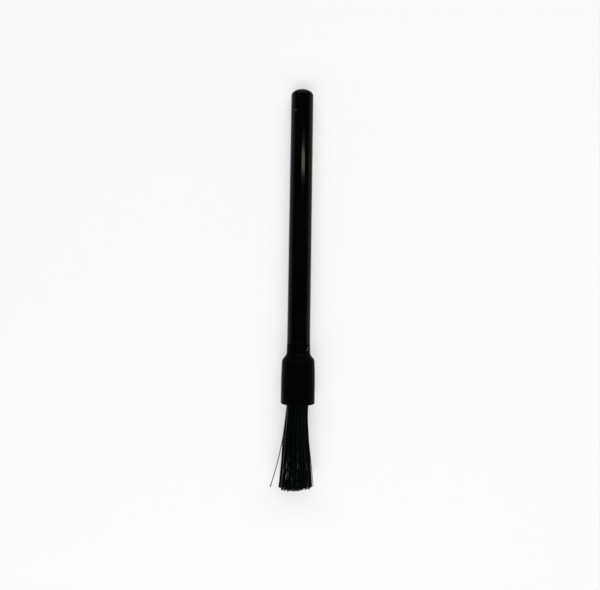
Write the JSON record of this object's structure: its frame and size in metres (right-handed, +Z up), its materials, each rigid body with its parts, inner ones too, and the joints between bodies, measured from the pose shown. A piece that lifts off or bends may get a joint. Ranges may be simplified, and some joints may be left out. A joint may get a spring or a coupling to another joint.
{
  "type": "cleaning brush",
  "caption": "Slim round hand brush for clearing coffee grounds: a long domed rod, a stepped ferrule with a sloping shoulder, and one flared tuft of stiff bristles.",
  "frame": {"origin": "on the worktop under the middle of the part's box, with the brush lying on its side. The brush's own axis is 1.87 mm to the +X side of it, because one stray bristle reaches out on the -X side", "axes": "+Y along the brush towards the handle's end, +Z up from the worktop, +X to the right with the handle away. The axis leans 1.2 degrees down towards +Y, because the ferrule is thicker than the rod"},
  "size_m": [0.0178, 0.1664, 0.0147],
  "materials": {
    "gloss_black_plastic": "polished moulded plastic, black",
    "satin_black_plastic": "satin moulded plastic, black",
    "black_nylon": "extruded nylon bristle, black with a faint cool tinge",
    "anchor_metal": "drawn flat wire"
  },
  "bodies": {
    "root": {"handle_rod": "gloss_black_plastic", "ferrule": "satin_black_plastic", "anchor_strip": "anchor_metal", "bristle_lock_01": "black_nylon", "bristle_lock_02": "black_nylon", "bristle_lock_03": "black_nylon", "bristle_lock_04": "black_nylon", "bristle_lock_05": "black_nylon", "bristle_lock_06": "black_nylon", "bristle_lock_07": "black_nylon", "bristle_lock_08": "black_nylon", "bristle_lock_09": "black_nylon", "bristle_lock_10": "black_nylon", "bristle_lock_11": "black_nylon", "bristle_lock_12": "black_nylon", "bristle_lock_13": "black_nylon", "bristle_lock_14": "black_nylon", "bristle_lock_15": "black_nylon", "bristle_lock_16": "black_nylon", "bristle_lock_17": "black_nylon", "bristle_lock_18": "black_nylon", "bristle_lock_19": "black_nylon", "bristle_lock_20": "black_nylon", "bristle_lock_21": "black_nylon", "bristle_lock_22": "black_nylon", "bristle_lock_23": "black_nylon", "bristle_lock_24": "black_nylon", "bristle_lock_25": "black_nylon", "bristle_lock_26": "black_nylon", "bristle_lock_27": "black_nylon", "bristle_lock_28": "black_nylon", "bristle_lock_29": "black_nylon", "bristle_lock_30": "black_nylon", "bristle_lock_31": "black_nylon", "bristle_lock_32": "black_nylon", "bristle_lock_33": "black_nylon", "bristle_lock_34": "black_nylon", "bristle_lock_35": "black_nylon", "bristle_lock_36": "black_nylon", "bristle_lock_37": "black_nylon", "bristle_lock_38": "black_nylon", "bristle_lock_39": "black_nylon", "bristle_lock_40": "black_nylon", "bristle_lock_41": "black_nylon", "stray_bristle": "black_nylon"}
  },
  "joints": []
}
